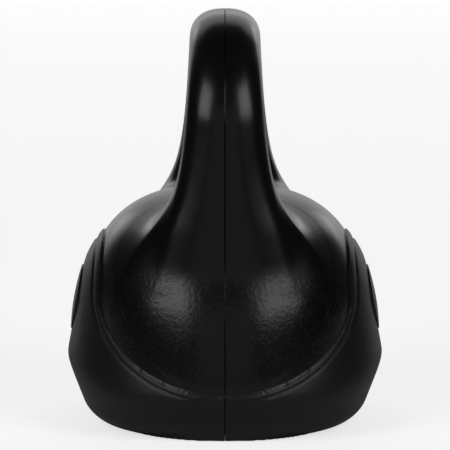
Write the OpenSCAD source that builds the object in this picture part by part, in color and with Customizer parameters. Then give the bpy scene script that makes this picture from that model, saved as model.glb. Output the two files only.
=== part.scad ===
// Kettlebell: a two-half moulded plastic case over a cast filling.
// The origin is at the middle of the base, +Z is up and the grip runs along X.
//
// The outer surface is where the signed distance field body() is zero: negative inside, positive outside.
// Each half of the case, and the filling, are cut into a fan of flat sections that turns about the middle
// of the hand window, and each section is drawn with rays from its own centre out to the surface.

/* [Overall] */
// Height from the base to the top of the grip
body_h = 224; // [200:1:245]
// Width of the bell, along the grip
bell_w = 204; // [192:1:216]
// Depth of the bell at the corner of the skirt, across the grip
bell_d = 174.5; // [166:0.5:184]

/* [Case] */
// Wall thickness of the two half shells
wall = 3.5; // [3:0.1:4.5]
// Thickness of the case's floor
floor_t = 4.5; // [4:0.1:6]
// Gap left round the filling when it shrinks
fill_gap = 0.2; // [0.15:0.05:0.3]
// How far the tongue along the joint line reaches into its groove
tongue_l = 1.6; // [1:0.1:2.5]
// Clearance round the tongue
tongue_gap = 0.15; // [0.1:0.05:0.25]

/* [Handle] */
// Thickness of the grip in the plane of the handle
grip_t = 35; // [31:1:38]
// Half thickness of the grip across the handle
grip_half = 19.5; // [17:0.5:21]
// How much thicker each horn gets per millimetre further down
horn_taper = 0.055; // [0.03:0.005:0.09]
// How much more each horn's half thickness grows at its root
horn_flare = 9; // [5:1:13]
// Half the distance between the horns' centres at the grip
horn_x = 48; // [44:1:52]
// How far the horns lean apart per millimetre further down
horn_lean = 0.13; // [0.05:0.01:0.2]
// Radius of the grip's two corners
corner_r = 37; // [30:1:40]
// Squareness of the handle's section
grip_n = 2.4; // [2:0.1:3]
// Reach of the fillet between the horns and the bell
fillet_l = 34; // [28:1:42]
// Reach of the same fillet on the horns' outer faces
fillet_out = 5; // [3:1:12]

/* [Bell] */
// Height of the dome's crown
dome_top = 127; // [123:0.5:132]
// Height of the dome's widest level
dome_z = 46; // [42:1:52]
// Half width of the dome
dome_x = 94; // [88:0.5:100]
// How much narrower the dome gets per millimetre further up
dome_taper = 0.18; // [0.1:0.01:0.22]
// Half depth of the dome
dome_y = 78; // [75:1:81]
// How far the dome's ellipsoid reaches below its widest level
dome_low = 62; // [56:1:70]
// Squareness of the dome from above
dome_p = 2.2; // [2:0.1:2.6]
// Squareness of the dome from the side
dome_q = 2.75; // [2.4:0.05:3]

/* [Cradle] */
// Height of the corner between the panels and the skirt
corner_z = 36.5; // [32:0.5:42]
// Inward slope of the front and rear panels
panel_slope = 0.18; // [0.14:0.01:0.22]
// Inward slope of the skirt
skirt_slope = 0.38; // [0.3:0.01:0.46]
// Radius between the skirt and the base
base_r = 12.5; // [9:0.5:20]
// Squareness of the cradle from above
cradle_p = 2.65; // [2.3:0.05:3]
// Height of the middle of the crease round the dome
crease_z = 73; // [68:1:78]
// Half width of the crease, seen along the grip
crease_y = 68; // [64:1:70]
// Drop of the crease below its middle
crease_low = 45.5; // [42:0.5:50]
// Rise of the crease's outline above its middle
crease_up = 122; // [110:1:135]
// Height of the rim's lip over the dome
rim_h = 2; // [1.4:0.1:3]
// Width of the step from the crease up to the lip
rim_w = 4; // [3:0.5:6]
// Rise of the rim beyond its lip, per millimetre away from it
rim_spread = 0.28; // [0.2:0.02:0.36]
// Roundness of the rim's outer edge
rim_soft = 4; // [2:0.5:8]

/* [Badges] */
// Radius of the blank badge on each panel
badge_r = 18; // [15:0.5:21]
// Height of the badge's centre
badge_z = 66; // [62:1:72]
// Depth of the seat cut into the panel
badge_seat = 1.2; // [1:0.1:1.5]
// How far the middle of the badge stands out of the panel
badge_rise = 1.3; // [1:0.1:2]

/* [Plug] */
// Radius of the filling hole
plug_r = 10; // [8:0.5:12]
// Radius of the plug's flange
flange_r = 13; // [11.5:0.5:15]
// Thickness of the plug's flange
flange_t = 1.4; // [1.2:0.1:2]
// Length of the plug, flange and stem
plug_l = 11; // [8:1:15]
// Distance of the plug behind the joint line
plug_y = 28; // [24:1:32]
// How far the plug sits above the floor
plug_recess = 0.4; // [0.3:0.1:0.8]
// Clearance round the plug
plug_gap = 0.1; // [0.05:0.05:0.2]

/* [Rod] */
// Radius of the steel rod in the handle
rod_r = 5; // [4:0.5:6]
// Half the distance between the rod's legs
rod_x = 48; // [44:1:52]
// Inside radius of the rod's bends, at its centre line
rod_bend = 26; // [22:1:30]

/* [Hidden] */
$fn = 96;
// Sections in the fan: through the handle, and through the bell, which takes this angle of the fan
handle_fans = 36;
bell_fans = 60;
bell_angle = 132;
// Rays in each half section, outside and inside the case
outer_rays = 30;
inner_rays = 12;
// How much closer together the rays are towards the skirt
ray_bias = 0.45;
// Height of the grip's centre line, and of the axis that the fan turns about
grip_z = body_h - grip_t / 2;
window_z = (grip_z - grip_t / 2 + dome_top) / 2;
// A ray search stops within this distance of the surface
hit = 0.004;
steps = 60;
// Farther out than any part of the surface
far = body_h + bell_w;
// How far below the grip the horns reach their roots, and where they end inside the dome
flare_depth = grip_z - dome_top + fillet_l / 3;
lean_depth = grip_z - (dome_z + dome_top) / 2 + fillet_out;
// Clearance round each badge in its seat
badge_gap = 0.1;
// Wall of the plug's hollow stem
stem_t = 1.6;
black = [0.09, 0.09, 0.1];

// ---- the surface ----

// A superellipse norm of two values
function norm_n(a, b, n) = pow(pow(abs(a), n) + pow(abs(b), n), 1 / n);
// The lesser of two distances, rounded over a band k wide, and the greater
function soft_min(a, b, k) = let (h = max(k - abs(a - b), 0) / k) min(a, b) - h * h * h * k / 6;
function soft_max(a, b, k) = -soft_min(-a, -b, k);
// The greater of two distances, with the corner between them rounded to radius r
function round_max(a, b, r) = a < -r && b < -r ? max(a, b) : norm([max(a + r, 0), max(b + r, 0)]) - r;
// A radial distance to a shape whose scaled size at p is f
function radial(p, f) = norm(p) * (1 - 1 / max(f, 1e-6));

// The dome: an ellipsoid, a little squared
function dome(x, y, z) =
    let (
        up = z - dome_z,
        half = up > 0 ? dome_top - dome_z : dome_low,
        across = norm_n(x / (dome_x - dome_taper * up), y / dome_y, dome_p)
    )
    radial([x, y, up], norm_n(across, up / half, dome_q));

// The cradle: sloping panels over a skirt, whose corner softens towards the sides, on a rounded base
function cradle(x, y, z) =
    let (
        half_d = bell_d / 2,
        out = norm_n(x * bell_d / bell_w, y, cradle_p) - half_d,
        panel = (out + panel_slope * (z - corner_z)) * cos(atan(panel_slope)),
        skirt = (out + skirt_slope * (corner_z - z)) * cos(atan(skirt_slope)),
        soft = 1.5 + 10 * pow(2 * x / bell_w, 2)
    )
    round_max(soft_max(panel, skirt, soft), -z, base_r);

// Distance outside the crease's outline, seen along the grip
function beyond_crease(y, z) =
    let (up = z - crease_z, half = up > 0 ? crease_up : crease_low)
    radial([y, up], norm([y / crease_y, up / half]));

// The bell: the dome, and the cradle whose rim steps up from the crease round it
function bell(x, y, z) =
    let (
        d = dome(x, y, z),
        u = beyond_crease(y, z),
        rise = soft_min(rim_h * u / rim_w, rim_h + rim_spread * (u - rim_w), 1),
        soft = rim_soft * min(max((u - rim_w) / 8, 0.05), 1)
    )
    min(d, soft_max(cradle(x, y, z), d - rise, soft));

// The handle: a section that widens downwards, swept along the grip, its two corners and the horns
function handle(x, y, z) =
    let (
        down = max(grip_z - z, 0),
        side = abs(x) - horn_x - horn_lean * min(down, lean_depth) + corner_r,
        up = z - grip_z + corner_r,
        off = norm([max(side, 0), max(up, 0)]) + min(max(side, up), 0) - corner_r,
        s = min(down, lean_depth) / flare_depth,
        half = grip_half + horn_taper * down + horn_flare * (s < 1 ? pow(s, 4) : 2 * s - 1)
    )
    max(radial([off, y], norm_n(2 * off / grip_t, y / half, grip_n)), grip_z - lean_depth - z);

// The whole surface: the horns join the bell in a fillet that is tight on their outer faces
function body(p) =
    let (
        out = min(max((abs(p[0]) - horn_x - grip_t / 4) / (grip_t / 2), 0), 1),
        fillet = fillet_l + (fillet_out - fillet_l) * out * out * (3 - 2 * out)
    )
    max(soft_min(bell(p[0], p[1], p[2]), handle(p[0], p[1], p[2]), fillet), -p[2]);

// ---- the fan of sections ----

// The fan's angles, from the middle of the bell round through the handle
fan_angles = [
    for (i = [0 : bell_fans - 1]) -90 + bell_angle * (i / bell_fans - 0.5),
    for (i = [0 : handle_fans - 1]) -90 + bell_angle / 2 + (360 - bell_angle) * i / handle_fans
];
function fan_at(dir, r) = [r * dir[0], 0, window_z + r * dir[2]];
// The distance along a ray to the surface inset by t, walked from inside (way 1) or outside (way -1)
function reach(o, dir, t, way, s, n) =
    let (f = body(o + s * dir) + t)
    n == 0 || abs(f) < hit ? s : reach(o, dir, t, way, s - way * 0.9 * f, n - 1);

// Each section's fan direction, and its near edge, far edge and centre as distances from the window's axis
sections = [
    for (turn = fan_angles)
        let (
            dir = [cos(turn), 0, sin(turn)],
            near = reach(fan_at(dir, 0), dir, 0, -1, 0, steps),
            edge = reach(fan_at(dir, far), -dir, 0, -1, 0, steps)
        )
        [dir, near, far - edge, (near + far - edge) / 2]
];

// A point on the surface inset by t, in section s, on the ray at angle a from straight front (side 1) or
// rear (side -1), and no lower than the level base
function skin(s, a, t, base, side) =
    let (
        o = fan_at(s[0], s[3]),
        dir = [0, side * cos(a), 0] + sin(a) * s[0],
        p = o + reach(o, dir, t, 1, 1, steps) * dir
    )
    [p[0], p[1], p[2] < base + 2 * hit ? base : p[2]];

function half_arc(n) =
    [for (k = [0 : n]) -90 + 180 * k / n + 90 / PI * ray_bias * (1 - cos(360 * k / n))];
function backwards(list) = [for (k = [len(list) - 1 : -1 : 0]) list[k]];

// A closed ring of sections, each a closed loop of points, as one solid
module ring(loops, flip) {
    m = len(loops[0]);
    n = len(loops);
    tris = [
        for (i = [0 : n - 1], k = [0 : m - 1])
            let (j = (i + 1) % n, l = (k + 1) % m)
            each [[i * m + k, i * m + l, j * m + l], [i * m + k, j * m + l, j * m + k]]
    ];
    polyhedron([for (loop = loops) each loop], flip ? [for (f = tris) backwards(f)] : tris);
}

// The step in a rim of the case between its points p and q: a tongue (d > 0) or a groove (d < 0)
function rim_step(p, q, d, gap, side) =
    let (
        ease = gap * (q - p) / norm(q - p),
        a = p + (q - p) / 3 - ease,
        b = q + (p - q) / 3 + ease,
        along = [0, -side * d, 0]
    )
    [a, a + along, b + along, b];

// A closed loop out along one list of points and back along another, with a step in both rims
function wall_loop(out, back, d, gap, side) =
    let (m = len(out) - 1, n = len(back) - 1)
    [
        each out,
        each rim_step(out[m], back[n], d, gap, side),
        each backwards(back),
        each rim_step(back[0], out[0], d, gap, side)
    ];

// One half of the case. The front half carries the tongue, and the rear half the groove.
module half_shell(side) {
    d = side > 0 ? tongue_l : -tongue_l - tongue_gap;
    gap = side > 0 ? 0 : tongue_gap;
    loops = [
        for (s = sections)
            let (
                outside = [for (a = half_arc(outer_rays)) skin(s, a, 0, 0, side)],
                inside = [for (a = half_arc(inner_rays)) skin(s, a, wall, floor_t, side)]
            )
            side > 0 ? wall_loop(inside, outside, d, gap, side) : wall_loop(outside, inside, d, gap, side)
    ];
    ring(loops, false);
}

// Puts its children on the middle of a panel, with +Z straight out of it
module on_panel(side) {
    mirror([0, side > 0 ? 0 : 1, 0])
        translate([0, bell_d / 2 - panel_slope * (badge_z - corner_z), badge_z])
            rotate([atan(panel_slope) - 90, 0, 0])
                children();
}

module badge_seat_cut(side) {
    on_panel(side) translate([0, 0, -badge_seat]) cylinder(r = badge_r, h = badge_seat + badge_rise);
}

// A blank lens: a round disc with a shallow domed face
module badge(side) {
    r = badge_r - badge_gap;
    lens_r = (r * r + badge_rise * badge_rise) / (2 * badge_rise);
    on_panel(side)
        intersection() {
            translate([0, 0, -badge_seat]) cylinder(r = r, h = badge_seat + 2 * badge_rise);
            translate([0, 0, badge_rise - lens_r]) sphere(r = lens_r, $fn = 240);
        }
}

module front_shell() {
    color(black)
        difference() {
            half_shell(1);
            badge_seat_cut(1);
        }
}

module rear_shell() {
    color(black)
        difference() {
            half_shell(-1);
            badge_seat_cut(-1);
            translate([0, -plug_y, -1]) cylinder(r = plug_r, h = floor_t + 2);
            translate([0, -plug_y, -1]) cylinder(r = flange_r + plug_gap, h = 1 + plug_recess + flange_t);
        }
}

module front_badge() {
    color(black) badge(1);
}

module rear_badge() {
    color(black) badge(-1);
}

// The rod: straight along the grip, bent down through both horns, its legs standing on the case's floor
module rod() {
    straight = rod_x - rod_bend;
    leg_top = grip_z - rod_bend;
    translate([-straight, 0, grip_z]) rotate([0, 90, 0]) cylinder(r = rod_r, h = 2 * straight);
    for (m = [0, 1])
        mirror([m, 0, 0]) {
            translate([straight, 0, leg_top]) rotate([90, 0, 0])
                rotate_extrude(angle = 90) translate([rod_bend, 0]) circle(r = rod_r);
            translate([rod_x, 0, floor_t]) cylinder(r = rod_r, h = leg_top - floor_t);
        }
}

module handle_rod() {
    color("silver") rod();
}

// The filling: one casting that fills the case, with room for the rod and the plug
module core() {
    t = wall + fill_gap;
    base = floor_t + fill_gap;
    loops = [
        for (s = sections)
            [
                for (a = half_arc(inner_rays)) skin(s, a, t, base, 1),
                for (k = [inner_rays - 1 : -1 : 1]) skin(s, half_arc(inner_rays)[k], t, base, -1)
            ]
    ];
    color("gray")
        difference() {
            ring(loops, true);
            rod();
            translate([0, -plug_y, 0]) cylinder(r = plug_r + 1.5, h = plug_recess + plug_l + 1);
        }
}

// A push-in plug: a flange, and a hollow stem with a barb that holds it behind the case's floor
module filler_plug() {
    r = plug_r - plug_gap;
    top = plug_recess + plug_l;
    barb = floor_t + plug_gap;
    color(black)
        translate([0, -plug_y, 0])
            rotate_extrude()
                polygon([
                    [0, plug_recess], [flange_r, plug_recess], [flange_r, plug_recess + flange_t],
                    [r, plug_recess + flange_t], [r, barb], [plug_r + 0.5, barb], [r, top],
                    [r - stem_t, top], [r - stem_t, plug_recess + flange_t], [0, plug_recess + flange_t]
                ]);
}

front_shell();
rear_shell();
core();
handle_rod();
filler_plug();
front_badge();
rear_badge();
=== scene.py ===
import math

import bmesh
import bpy
import numpy as np
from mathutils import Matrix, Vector


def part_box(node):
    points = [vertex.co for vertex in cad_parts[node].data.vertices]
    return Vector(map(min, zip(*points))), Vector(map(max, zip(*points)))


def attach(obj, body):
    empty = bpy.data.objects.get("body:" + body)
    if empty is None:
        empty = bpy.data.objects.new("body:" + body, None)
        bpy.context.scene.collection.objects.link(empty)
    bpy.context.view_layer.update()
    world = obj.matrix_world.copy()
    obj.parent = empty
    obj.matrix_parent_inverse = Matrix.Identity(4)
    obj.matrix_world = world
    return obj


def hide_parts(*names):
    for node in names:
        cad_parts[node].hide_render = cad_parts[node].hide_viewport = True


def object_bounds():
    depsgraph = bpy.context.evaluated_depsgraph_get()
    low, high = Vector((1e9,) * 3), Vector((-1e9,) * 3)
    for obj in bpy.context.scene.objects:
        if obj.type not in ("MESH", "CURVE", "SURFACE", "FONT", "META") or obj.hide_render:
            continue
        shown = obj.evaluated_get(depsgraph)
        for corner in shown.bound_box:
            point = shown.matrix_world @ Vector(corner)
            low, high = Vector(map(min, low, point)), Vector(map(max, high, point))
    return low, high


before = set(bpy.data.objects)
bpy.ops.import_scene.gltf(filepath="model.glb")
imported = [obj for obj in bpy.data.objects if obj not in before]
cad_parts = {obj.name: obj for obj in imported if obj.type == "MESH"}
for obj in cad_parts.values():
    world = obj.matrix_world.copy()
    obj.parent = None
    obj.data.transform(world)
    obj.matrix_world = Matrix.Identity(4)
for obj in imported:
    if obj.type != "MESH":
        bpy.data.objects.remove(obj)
cad_low, cad_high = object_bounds()

# ---- sizes, in millimetres where a name doesn't say otherwise ----
MM = 0.001
# The CAD part's own values, down to the rim's softness
BODY_H = (cad_high.z - cad_low.z) / MM
BELL_W = 204.0
BELL_D = 174.5
GRIP_T, GRIP_HALF, HORN_TAPER, HORN_FLARE = 35.0, 19.5, 0.055, 9.0
HORN_X, HORN_LEAN, CORNER_R, GRIP_N = 48.0, 0.13, 37.0, 2.4
FILLET_L, FILLET_OUT = 34.0, 5.0
DOME_TOP, DOME_Z, DOME_X, DOME_Y, DOME_LOW = 127.0, 46.0, 94.0, 78.0, 62.0
DOME_P, DOME_Q, DOME_TAPER = 2.2, 2.75, 0.18
CORNER_Z, PANEL_SLOPE, SKIRT_SLOPE, BASE_R, CRADLE_P = 36.5, 0.18, 0.38, 12.5, 2.65
CREASE_Z, CREASE_Y, CREASE_LOW, CREASE_UP = 73.0, 68.0, 45.5, 122.0
RIM_H, RIM_W, RIM_SPREAD, RIM_SOFT = 2.0, 4.0, 0.28, 4.0
WALL, FLOOR_T = 3.5, 4.5
FLANGE_R, FLANGE_T, PLUG_Y, PLUG_RECESS, PLUG_GAP = 13.0, 1.4, 28.0, 0.4, 0.1
GRIP_Z = BODY_H - GRIP_T / 2
WINDOW_Z = (GRIP_Z - GRIP_T / 2 + DOME_TOP) / 2
FLARE_DEPTH = GRIP_Z - DOME_TOP + FILLET_L / 3
LEAN_DEPTH = GRIP_Z - (DOME_Z + DOME_TOP) / 2 + FILLET_OUT
# How softly the cradle's panel turns into its skirt: at the front, and how much more towards the ends
CORNER_SOFT, CORNER_SPREAD = 1.5, 10
# The rim softens over this distance outside itself, from this share of its full softness
RIM_FADE, RIM_SHARPEST = 8, 0.05
# The flare's change of slope, rounded here: where the rounding starts along the flare, and how wide it is
FLARE_START, FLARE_SOFT = 0.72, 0.25
# How softly the dome and the rim run into each other
CREASE_SOFT = 0.5
# The rim's lip, drawn sharper than the CAD part's step, and the fine groove outside it
LIP_H, LIP_W, LIP_SOFT = 1.16, 1.0, 0.4
GROOVE_D, GROOVE_W = 0.45, 0.7


# ---- the surface: the CAD part's distance field, with its lip, groove and flare drawn finer as above ----
def norm_n(a, b, n):
    return (np.abs(a) ** n + np.abs(b) ** n) ** (1 / n)


def soft_min(a, b, k):
    h = np.maximum(k - np.abs(a - b), 0) / k
    return np.minimum(a, b) - h**3 * k / 6


def soft_max(a, b, k):
    return -soft_min(-a, -b, k)


def round_max(a, b, r):
    inside = (a < -r) & (b < -r)
    return np.where(inside, np.maximum(a, b), np.hypot(np.maximum(a + r, 0), np.maximum(b + r, 0)) - r)


def radial(length, size):
    return length * (1 - 1 / np.maximum(size, 1e-6))


def dome(x, y, z):
    up = z - DOME_Z
    half = np.where(up > 0, DOME_TOP - DOME_Z, DOME_LOW)
    across = norm_n(x / (DOME_X - DOME_TAPER * up), y / DOME_Y, DOME_P)
    return radial(np.sqrt(x * x + y * y + up * up), norm_n(across, up / half, DOME_Q))


def cradle(x, y, z):
    out = norm_n(x * BELL_D / BELL_W, y, CRADLE_P) - BELL_D / 2
    panel = (out + PANEL_SLOPE * (z - CORNER_Z)) * math.cos(math.atan(PANEL_SLOPE))
    skirt = (out + SKIRT_SLOPE * (CORNER_Z - z)) * math.cos(math.atan(SKIRT_SLOPE))
    soft = CORNER_SOFT + CORNER_SPREAD * (2 * x / BELL_W) ** 2
    return round_max(soft_max(panel, skirt, soft), -z, BASE_R)


def beyond_crease(y, z):
    up = z - CREASE_Z
    half = np.where(up > 0, CREASE_UP, CREASE_LOW)
    return radial(np.hypot(y, up), np.hypot(y / CREASE_Y, up / half))


def bell(x, y, z):
    d = dome(x, y, z)
    u = beyond_crease(y, z)
    rise = soft_min(LIP_H * u / LIP_W, RIM_H + RIM_SPREAD * (u - RIM_W), LIP_SOFT)
    soft = RIM_SOFT * np.clip((u - RIM_W) / RIM_FADE, RIM_SHARPEST, 1)
    groove = GROOVE_D * np.exp(-(((u - RIM_W) / GROOVE_W) ** 2))
    return soft_min(d, soft_max(cradle(x, y, z), d - rise, soft) + groove, CREASE_SOFT)


def handle(x, y, z):
    down = np.maximum(GRIP_Z - z, 0)
    side = np.abs(x) - HORN_X - HORN_LEAN * np.minimum(down, LEAN_DEPTH) + CORNER_R
    up = z - GRIP_Z + CORNER_R
    off = np.hypot(np.maximum(side, 0), np.maximum(up, 0)) + np.minimum(np.maximum(side, up), 0) - CORNER_R
    s = np.minimum(down, LEAN_DEPTH) / FLARE_DEPTH
    flare = np.where(s < FLARE_START, s**4, soft_min(s**4, 2 * s - 1, FLARE_SOFT))
    half = GRIP_HALF + HORN_TAPER * down + HORN_FLARE * flare
    horn = radial(np.hypot(off, y), norm_n(2 * off / GRIP_T, y / half, GRIP_N))
    return np.maximum(horn, GRIP_Z - LEAN_DEPTH - z)


def body(p):
    x, y, z = p[..., 0], p[..., 1], p[..., 2]
    out = np.clip((np.abs(x) - HORN_X - GRIP_T / 4) / (GRIP_T / 2), 0, 1)
    fillet = FILLET_L + (FILLET_OUT - FILLET_L) * out * out * (3 - 2 * out)
    return np.maximum(soft_min(bell(x, y, z), handle(x, y, z), fillet), -z)


# ---- the fan of sections about the window's axis ----
BELL_ANGLE = math.radians(132)
BELL_FANS, HANDLE_FANS = 290, 150
OUTER_RAYS, INNER_RAYS = 210, 24
# How far the rays lean from an even spread, to crowd halfway between a section's middle and its outer side
RAY_BIAS = 0.45
# How many times closer the sections and the rays are drawn at the crease, and over what distance
FAN_DRAW, RAY_DRAW = (4, 9), (5, 4)
# The share of the field's value that one step of a march covers
STRIDE = 0.9
# A point no more than this above the base is laid on it
BASE_SNAP = 0.01


def reach(origin, direction, inset, way, start, steps=90):
    """Walks every ray to the surface inset by a distance, from inside (way 1) or outside (way -1)."""
    s = np.full(origin.shape[:-1], float(start))
    for _ in range(steps):
        s -= way * STRIDE * (body(origin + s[..., None] * direction) + inset)
    return s


def draw_closer(steps, points, gain, spread):
    """Moves a grid line's steps closer together where the line crosses the crease's rim."""
    u = beyond_crease(points[:, 1], points[:, 2])
    weight = 1 + gain * np.exp(-(((u - RIM_W / 2) / spread) ** 2)) * (points[:, 2] < DOME_TOP)
    total = np.concatenate([[0], np.cumsum((weight[1:] + weight[:-1]) / 2 * np.diff(steps))])
    return np.interp(np.linspace(0, total[-1], len(steps)), total, steps)


def fan_line(turn):
    """Each section's direction out from the window's axis, its middle, and its outermost point."""
    out = np.stack([np.cos(turn), 0 * turn, np.sin(turn)], axis=-1)
    axis = np.zeros_like(out)
    axis[:, 2] = WINDOW_Z
    far = BODY_H + BELL_W
    near = reach(axis, out, 0, -1, 0)
    edge = far - reach(axis + far * out, -out, 0, -1, 0)
    return out, axis + ((near + edge) / 2)[:, None] * out, axis + edge[:, None] * out


def sections():
    bell_turn = -math.pi / 2 + BELL_ANGLE * (np.linspace(0, 1, BELL_FANS + 1) - 0.5)
    bell_turn = draw_closer(bell_turn, fan_line(bell_turn)[2], *FAN_DRAW)
    handle_turn = bell_turn[-1] + (2 * math.pi - BELL_ANGLE) * np.arange(HANDLE_FANS) / HANDLE_FANS
    return fan_line(np.concatenate([bell_turn[:-1], handle_turn]))[:2]


def ray_angles(n):
    t = np.arange(n + 1) / n
    return -math.pi / 2 + math.pi * t + RAY_BIAS / 2 * (1 - np.cos(2 * math.pi * t))


def skin(out, centre, angles, inset, base, side):
    """The points where each section's rays meet the surface inset by a distance, no lower than the base."""
    spread = np.array([0.0, side, 0.0]) * np.cos(angles)[..., None]
    direction = spread + np.sin(angles)[..., None] * out[:, None, :]
    origin = np.broadcast_to(centre[:, None, :], direction.shape)
    p = origin + reach(origin, direction, inset, 1, 1)[..., None] * direction
    p[..., 2] = np.where(p[..., 2] < base + BASE_SNAP, base, p[..., 2])
    return p


def new_object(name, points, faces, smooth=True):
    mesh = bpy.data.meshes.new(name)
    mesh.from_pydata(points, [], faces)
    mesh.update()
    mesh.polygons.foreach_set("use_smooth", [smooth] * len(mesh.polygons))
    obj = bpy.data.objects.new(name, mesh)
    bpy.context.scene.collection.objects.link(obj)
    return obj


# The joint line's groove: half its width and its bevel at the surface, its depth, and half its width there
SEAM_LIP, BEVEL_W, BEVEL_H, SEAM_DEPTH, SEAM_GAP = 0.32, 0.08, 0.06, 0.5, 0.02
# Edges that turn by more than this are drawn sharp
SHARP_ANGLE = math.radians(40)
# Over what distance across the crease the case turns from gloss to satin
MATTE_BLEND = 2


def seam_wall(centre, out, end, way, side):
    """One half of the joint line's groove, at one end of every section."""
    wall = []
    for depth, gap in ((BEVEL_H, SEAM_LIP - BEVEL_W), (SEAM_DEPTH, SEAM_GAP)):
        p = centre + ((end - depth) * way)[:, None] * out
        p[:, 1] = side * gap
        wall.append(p[:, None])
    return wall


def shell_half(name, side):
    """One half shell as a closed grid: round its outside, in at the joint line, back along its inside."""
    out, centre = sections()
    angles = np.broadcast_to(ray_angles(OUTER_RAYS), (len(out), OUTER_RAYS + 1)).copy()
    ends = reach(centre, out, 0, 1, 1), reach(centre, -out, 0, 1, 1)
    angles[:, 0] = -math.pi / 2 + np.arcsin(SEAM_LIP / ends[1])
    angles[:, -1] = math.pi / 2 - np.arcsin(SEAM_LIP / ends[0])
    outside = skin(out, centre, angles, 0, 0, side)
    angles = np.stack([draw_closer(row, points, *RAY_DRAW) for row, points in zip(angles, outside)])
    outside = skin(out, centre, angles, 0, 0, side)
    inner_angles = np.broadcast_to(ray_angles(INNER_RAYS), (len(out), INNER_RAYS + 1))
    inside = skin(out, centre, inner_angles, WALL, FLOOR_T, side)
    outer_wall = seam_wall(centre, out, ends[0], 1, side)
    window_wall = seam_wall(centre, out, ends[1], -1, side)
    loop = np.concatenate([outside, *outer_wall, inside[:, ::-1], *window_wall[::-1]], axis=1)
    n, m = loop.shape[:2]
    i, k = np.meshgrid(np.arange(n), np.arange(m), indexing="ij")
    a, b = (i + 1) % n, (k + 1) % m
    quads = np.stack([i * m + k, i * m + b, a * m + b, a * m + k], axis=-1).reshape(-1, 4)
    if side > 0:
        quads = quads[:, ::-1]
    obj = new_object(name, (loop.reshape(-1, 3) * MM).tolist(), quads.tolist())
    outside_crease = beyond_crease(loop[..., 1], loop[..., 2])
    store(obj, "matte", np.clip(outside_crease / MATTE_BLEND + 0.5, 0, 1) * (loop[..., 2] < DOME_TOP))
    # The joint line's groove and the inside, which the material paints darkest and without reflection, as
    # painted shade
    store(obj, "seam", np.broadcast_to(np.arange(m) > OUTER_RAYS, (n, m)))
    return obj


def store(obj, name, values):
    """Keeps one number for each of the mesh's points, for its material to read."""
    layer = obj.data.attributes.new(name, "FLOAT", "POINT")
    layer.data.foreach_set("value", values.astype(np.float32).ravel())


# A face whose middle is lower than this, in metres, lies on the base
ON_BASE = 1e-6


def sink_filler_hole(obj):
    """Opens the base round the plug's flange: a round edge, and a wall up to the flange's seat."""
    axis, radius = Vector((0, -PLUG_Y)) * MM, (FLANGE_R + PLUG_GAP) * MM
    bm = bmesh.new()
    bm.from_mesh(obj.data)
    gone = []
    for face in bm.faces:
        centre = face.calc_center_median()
        if centre.z < ON_BASE and (centre.xy - axis).length < radius:
            gone.append(face)
    bmesh.ops.delete(bm, geom=gone, context="FACES")
    rim = [e for e in bm.edges if e.is_boundary]
    for v in {v for e in rim for v in e.verts}:
        v.co.xy = axis + (v.co.xy - axis).normalized() * radius
    wall = bmesh.ops.extrude_edge_only(bm, edges=rim)["geom"]
    for v in wall:
        if isinstance(v, bmesh.types.BMVert):
            v.co.z = (PLUG_RECESS + FLANGE_T) * MM
    bm.to_mesh(obj.data)
    bm.free()


# ---- materials ----
def material(name):
    m = bpy.data.materials.new(name)
    m.use_nodes = True
    nodes = m.node_tree.nodes
    return m, nodes, m.node_tree.links, nodes["Principled BSDF"]


def noise(nodes, links, coords, scale, detail=2.0, rough=0.5):
    n = nodes.new("ShaderNodeTexNoise")
    n.inputs["Scale"].default_value = scale
    n.inputs["Detail"].default_value = detail
    n.inputs["Roughness"].default_value = rough
    links.new(coords, n.inputs["Vector"])
    return n.outputs["Fac"]


def remap(nodes, links, value, from_low, from_high, to_low, to_high):
    n = nodes.new("ShaderNodeMapRange")
    for socket, number in zip(n.inputs[1:5], (from_low, from_high, to_low, to_high)):
        socket.default_value = number
    links.new(value, n.inputs["Value"])
    return n.outputs["Result"]


def combine(nodes, links, operation, a, b):
    n = nodes.new("ShaderNodeMath")
    n.operation = operation
    for socket, value in zip(n.inputs, (a, b)):
        if isinstance(value, (int, float)):
            socket.default_value = value
        else:
            links.new(value, socket)
    return n.outputs[0]


def bump(nodes, links, height, depth, strength=1.0, normal=None):
    n = nodes.new("ShaderNodeBump")
    n.inputs["Distance"].default_value = depth
    n.inputs["Strength"].default_value = strength
    links.new(height, n.inputs["Height"])
    if normal is not None:
        links.new(normal, n.inputs["Normal"])
    return n.outputs["Normal"]


def stretched(nodes, links, coords, scale, turn):
    n = nodes.new("ShaderNodeMapping")
    n.inputs["Scale"].default_value = scale
    n.inputs["Rotation"].default_value = turn
    links.new(coords, n.inputs["Vector"])
    return n.outputs["Vector"]


def attribute(nodes, name):
    n = nodes.new("ShaderNodeAttribute")
    n.attribute_name = name
    return n.outputs["Fac"]


def blend_colour(nodes, links, factor, dark, light):
    n = nodes.new("ShaderNodeMix")
    n.data_type = "RGBA"
    n.inputs["A"].default_value = (*dark, 1)
    n.inputs["B"].default_value = (*light, 1)
    links.new(factor, n.inputs["Factor"])
    return n.outputs["Result"]


# Heights, in metres, between which the dome's coarser grain fades in on the way down
GRAIN_FADE = 0.094, 0.084
# A badge's turned rings
RING_PITCH, RING_DEPTH = 0.6 * MM, 0.02 * MM


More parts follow.
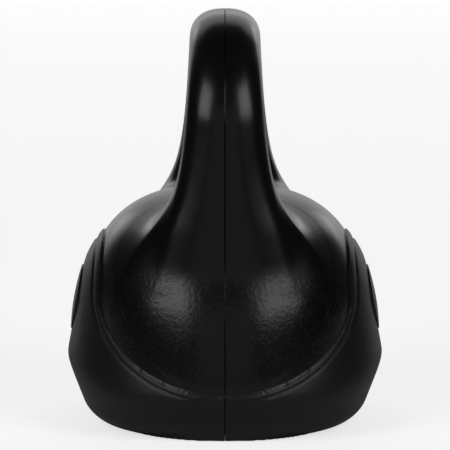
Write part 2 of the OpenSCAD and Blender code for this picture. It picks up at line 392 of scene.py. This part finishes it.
def case_material():
    """Black moulded plastic: glossy with a fine orange-peel grain on the dome, satin on the cradle, with
    painted shade in the joint line's groove: no reflection there and the darkest colour.
    """
    m, nodes, links, bsdf = material("case_black")
    coords = nodes.new("ShaderNodeTexCoord").outputs["Object"]
    split = nodes.new("ShaderNodeSeparateXYZ")
    links.new(coords, split.inputs[0])
    matte, seam = attribute(nodes, "matte"), attribute(nodes, "seam")
    on_dome = remap(nodes, links, split.outputs["Z"], *GRAIN_FADE, 0.0, 1.0)
    gloss_dome = combine(nodes, links, "MULTIPLY", on_dome, combine(nodes, links, "SUBTRACT", 1.0, matte))

    clouds = noise(nodes, links, coords, 28, 4, 0.6)
    pores = noise(nodes, links, coords, 900, 2, 0.6)
    peel = noise(nodes, links, coords, 420, 3, 0.55)
    scratch_path = stretched(nodes, links, coords, (900, 900, 60), (0.35, 0.9, 0.2))
    scratches = remap(nodes, links, noise(nodes, links, scratch_path, 1, 2, 0.5), 0.66, 0.74, 0.0, 1.0)
    patches = remap(nodes, links, noise(nodes, links, coords, 55, 3, 0.6), 0.5, 0.68, 0.0, 1.0)
    scuffs = combine(nodes, links, "MULTIPLY", scratches, patches)
    speckle = remap(nodes, links, pores, 0.58, 0.7, 0.0, 1.0)
    speckle = combine(nodes, links, "MULTIPLY", speckle, gloss_dome)

    rough = remap(nodes, links, clouds, 0.3, 0.7, 0.21, 0.29)
    rough = combine(nodes, links, "ADD", rough, remap(nodes, links, matte, 0, 1, 0.0, 0.16))
    rough = combine(nodes, links, "ADD", rough, remap(nodes, links, scuffs, 0, 1, 0.0, 0.12))
    rough = combine(nodes, links, "ADD", rough, remap(nodes, links, speckle, 0, 1, 0.0, 0.15))
    links.new(rough, bsdf.inputs["Roughness"])

    # Painted shade: the joint line's groove and the inside take no reflection, so the groove reads as a
    # dark line
    links.new(remap(nodes, links, seam, 0, 1, 0.5, 0.0), bsdf.inputs["Specular IOR Level"])
    # Colour: lighter with scuffs, speckle and the satin cradle; painted shade makes it darkest in the joint
    # line's groove
    dust_and_seam_shade = combine(nodes, links, "ADD", remap(nodes, links, scuffs, 0, 1, 0.1, 0.55), speckle)
    dust_and_seam_shade = combine(nodes, links, "ADD", dust_and_seam_shade, remap(nodes, links, matte, 0, 1, 0.0, 0.8))
    dust_and_seam_shade = combine(nodes, links, "SUBTRACT", dust_and_seam_shade, remap(nodes, links, seam, 0, 1, 0.0, 2.0))
    tint = blend_colour(nodes, links, dust_and_seam_shade, (0.0032, 0.0032, 0.0038), (0.009, 0.009, 0.0098))
    links.new(tint, bsdf.inputs["Base Color"])

    grain = combine(nodes, links, "MULTIPLY", peel, remap(nodes, links, gloss_dome, 0, 1, 0.25, 1.0))
    relief = bump(nodes, links, grain, 0.00022, 0.6)
    fine = combine(nodes, links, "MULTIPLY", pores, remap(nodes, links, matte, 0, 1, 0.6, 1.0))
    links.new(bump(nodes, links, fine, 0.00005, 0.6, relief), bsdf.inputs["Normal"])
    return m


def grained(name, dark, light, rough, grain, depth, metal=0.0, stretch=(1, 1, 1), ring_centre=None):
    """A cast, drawn or moulded stuff: cloudy in colour and gloss, with a grain and, on request, rings."""
    m, nodes, links, bsdf = material(name)
    coords = nodes.new("ShaderNodeTexCoord").outputs["Object"]
    path = stretched(nodes, links, coords, stretch, (0, 0, 0))
    clouds = noise(nodes, links, path, grain / 14, 4, 0.6)
    grains = noise(nodes, links, path, grain, 3, 0.6)
    mottle = remap(nodes, links, combine(nodes, links, "ADD", clouds, grains), 0.75, 1.25, 0.0, 1.0)
    links.new(blend_colour(nodes, links, mottle, dark, light), bsdf.inputs["Base Color"])
    links.new(remap(nodes, links, clouds, 0.3, 0.7, *rough), bsdf.inputs["Roughness"])
    bsdf.inputs["Metallic"].default_value = metal
    relief = bump(nodes, links, grains, depth)
    if ring_centre is not None:
        distance = nodes.new("ShaderNodeVectorMath")
        distance.operation = "DISTANCE"
        links.new(coords, distance.inputs[0])
        distance.inputs[1].default_value = ring_centre
        wave = combine(nodes, links, "MULTIPLY", distance.outputs["Value"], 2 * math.pi / RING_PITCH)
        relief = bump(nodes, links, combine(nodes, links, "SINE", wave, 0), RING_DEPTH, 1.0, relief)
    links.new(relief, bsdf.inputs["Normal"])
    return m


# ---- stage ----
# The camera's distance and height, and the height it aims at, in metres; its sensor and lens in millimetres
CAM_D, CAM_H, CAM_AIM = 3.0, 0.555, 0.1055
SENSOR_W, LENS = 36.0, 440.72
FLOOR_HALF, FLOOR_SHADE, FLOOR_GLOW = 6, 0.7, 0.7
# How bright the surroundings are to the camera, and to everything else
SKY_SEEN, SKY_LIT = 1.0, 0.02


def make_camera():
    data = bpy.data.cameras.new("camera")
    data.sensor_width = SENSOR_W
    data.lens = LENS
    cam = bpy.data.objects.new("camera", data)
    bpy.context.scene.collection.objects.link(cam)
    cam.location = (CAM_D, 0, CAM_H)
    cam.rotation_euler = (Vector((0, 0, CAM_AIM)) - cam.location).to_track_quat("-Z", "Y").to_euler()
    bpy.context.scene.camera = cam


def softbox(name, turn, distance, low_z, high_z, width, radiance):
    """An area light at a bearing from +X that faces the object, set by how bright its face is."""
    place = Vector((distance * math.cos(turn), distance * math.sin(turn), (low_z + high_z) / 2))
    data = bpy.data.lights.new(name, "AREA")
    data.shape = "RECTANGLE"
    data.size, data.size_y = width, high_z - low_z
    data.energy = radiance * math.pi * data.size * data.size_y
    lamp = bpy.data.objects.new(name, data)
    bpy.context.scene.collection.objects.link(lamp)
    lamp.location = place
    lamp.rotation_euler = Vector((-place.x, -place.y, 0)).to_track_quat("-Z", "Y").to_euler()
    lamp.visible_camera = False


def make_stage():
    """A pale floor and surroundings, and softboxes placed by bearing, distance and heights in metres."""
    corners = [(x * FLOOR_HALF, y * FLOOR_HALF, 0) for x, y in ((-1, -1), (1, -1), (1, 1), (-1, 1))]
    floor = new_object("floor", corners, [(0, 1, 2, 3)], smooth=False)
    pale, nodes, links, bsdf = material("floor_pale")
    bsdf.inputs["Base Color"].default_value = (FLOOR_SHADE, FLOOR_SHADE, FLOOR_SHADE, 1)
    bsdf.inputs["Roughness"].default_value = 0.9
    bsdf.inputs["Emission Color"].default_value = (1, 1, 1, 1)
    seen = nodes.new("ShaderNodeLightPath")
    glow = nodes.new("ShaderNodeMath")
    glow.operation = "MULTIPLY"
    glow.inputs[1].default_value = FLOOR_GLOW
    links.new(seen.outputs["Is Camera Ray"], glow.inputs[0])
    links.new(glow.outputs[0], bsdf.inputs["Emission Strength"])
    floor.data.materials.append(pale)
    world = bpy.data.worlds.new("studio")
    bpy.context.scene.world = world
    world.use_nodes = True
    nodes, links = world.node_tree.nodes, world.node_tree.links
    nodes["Background"].inputs["Color"].default_value = (1, 1, 1, 1)
    path = nodes.new("ShaderNodeLightPath")
    mix = nodes.new("ShaderNodeMapRange")
    mix.inputs["To Min"].default_value = SKY_LIT
    mix.inputs["To Max"].default_value = SKY_SEEN
    links.new(path.outputs["Is Camera Ray"], mix.inputs["Value"])
    links.new(mix.outputs["Result"], nodes["Background"].inputs["Strength"])
    bpy.context.scene.view_settings.view_transform = "Standard"
    softbox("backdrop", math.pi, 2.2, 0.0, 2.6, 3.6, 0.7)
    softbox("front_fill", 0, 2.2, 0.1, 1.3, 1.6, 0.18)
    for side in (-1, 1):
        softbox("side_box", side * math.radians(45), 1.2, 0.5, 1.36, 0.8, 2.5)
        softbox("rear_strip", side * math.radians(152), 1.6, 0.42, 0.8, 0.4, 0.9)


make_camera()
make_stage()
case = case_material()
for node, side in (("front_shell", 1), ("rear_shell", -1)):
    shell = shell_half(node + "_skin", side)
    if side < 0:
        sink_filler_hole(shell)
    shell.data.set_sharp_from_angle(angle=SHARP_ANGLE)
    shell.data.materials.append(case)
    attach(shell, "root")
    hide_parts(node)

looks = {
    "core": grained("filling_cement", (0.15, 0.145, 0.135), (0.36, 0.35, 0.33), (0.8, 0.95), 420, 0.5 * MM),
    "handle_rod": grained(
        "rod_steel", (0.3, 0.3, 0.31), (0.56, 0.56, 0.57), (0.26, 0.42), 900, 0.05 * MM, 1.0, (0.08, 1, 1)
    ),
    "filler_plug": grained(
        "plug_black", (0.007, 0.007, 0.0075), (0.014, 0.014, 0.0145), (0.36, 0.48), 700, 0.06 * MM
    ),
}
badge_dark, badge_light = (0.006, 0.006, 0.0065), (0.012, 0.012, 0.0125)
for node in ("front_badge", "rear_badge"):
    badge_low, badge_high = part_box(node)
    middle = (badge_low + badge_high) / 2
    looks[node] = grained(
        node + "_black", badge_dark, badge_light, (0.24, 0.32), 800, 0.03 * MM, ring_centre=middle
    )
for node, look in looks.items():
    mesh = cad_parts[node].data
    mesh.materials.clear()
    mesh.materials.append(look)
